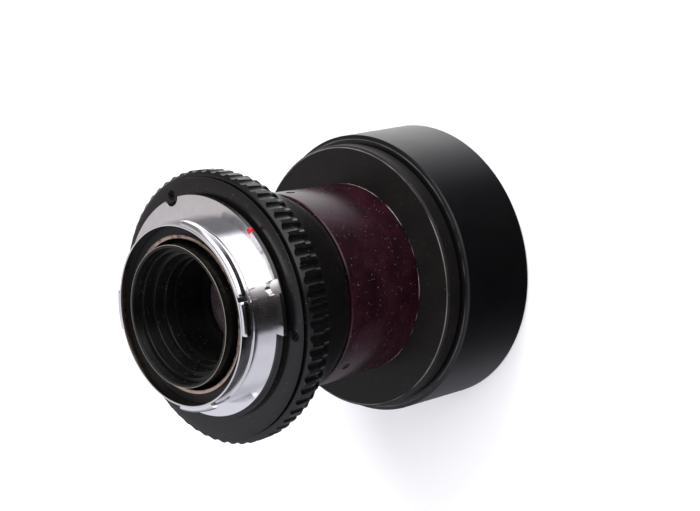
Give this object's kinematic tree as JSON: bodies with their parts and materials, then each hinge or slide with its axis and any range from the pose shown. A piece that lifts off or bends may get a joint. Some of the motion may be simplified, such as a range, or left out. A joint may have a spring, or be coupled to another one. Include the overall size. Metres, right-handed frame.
{
  "type": "cine lens",
  "caption": "Unit-focusing cine lens with a lugged bayonet tube, a scalloped focus ring on a cone, a slim barrel and a wide front plate carrying a deep hood.",
  "frame": {"origin": "centre of the hood's front rim, on the lens axis, where the lens stands", "axes": "+Z along the lens axis from the hood's rim to the rear mount; -Y towards the side that the picture faces"},
  "size_m": [0.0717, 0.0718, 0.086],
  "materials": {
    "mount_chrome": "polished chrome plate, lightly worn",
    "index_red": "red enamel",
    "satin_black": "satin black anodised",
    "plum_black": "aged black anodising turned plum",
    "plate_black": "dull black anodised",
    "hood_black": "matt black anodised, fine turned",
    "cell_black": "matt black anodised, dusty",
    "blackened_brass": "blackened brass, worn to copper colour on its lip",
    "helicoid_brass": "bare turned brass, greased",
    "sleeve_aluminium": "bare turned aluminium",
    "blackened_steel": "blackened steel",
    "key_steel": "bright steel",
    "coated_glass": "coated optical glass"
  },
  "bodies": {
    "optical_block": {"barrel_set_screws": "blackened_steel", "front_cell": "cell_black", "front_element": "coated_glass", "front_hood": "hood_black", "front_plate": "plate_black", "front_retaining_ring": "cell_black", "front_spacer": "cell_black", "helicoid_sleeve": "sleeve_aluminium", "main_barrel": "plum_black", "middle_element": "coated_glass", "middle_retaining_ring": "cell_black", "plate_nut": "cell_black", "rear_cell": "cell_black", "rear_element": "coated_glass", "rear_inner_element": "coated_glass", "rear_retaining_ring": "cell_black", "rear_spacer": "cell_black", "second_element": "coated_glass", "stop_plate": "cell_black"},
    "mount_block": {"bayonet_mount": "mount_chrome", "index_dot": "index_red", "bayonet_screws": "blackened_steel", "rear_baffle": "blackened_brass", "mount_ring": "satin_black", "mount_ring_screws": "blackened_steel", "bearing_sleeve": "helicoid_brass", "stop_pin": "key_steel", "guide_keys": "key_steel", "guide_key_screws": "key_steel"},
    "focus_grip": {"focus_ring": "satin_black", "focus_retaining_ring": "satin_black", "focus_helicoid": "helicoid_brass", "focus_helicoid_screws": "key_steel"}
  },
  "joints": [
    {"name": "focus_extension", "type": "slide", "parent": "optical_block", "child": "mount_block", "axis": [0, 0, 1], "range_m": [0, 0.006]},
    {"name": "focus_turn", "type": "hinge", "parent": "mount_block", "child": "focus_grip", "pos_m": [0, 0, 0.07], "axis": [0, 0, 1], "range_deg": [0, 150]}
  ],
  "couplings": [
    {"joint": "focus_extension", "follows": "focus_turn", "m_per_rad": 0.0022918}
  ]
}
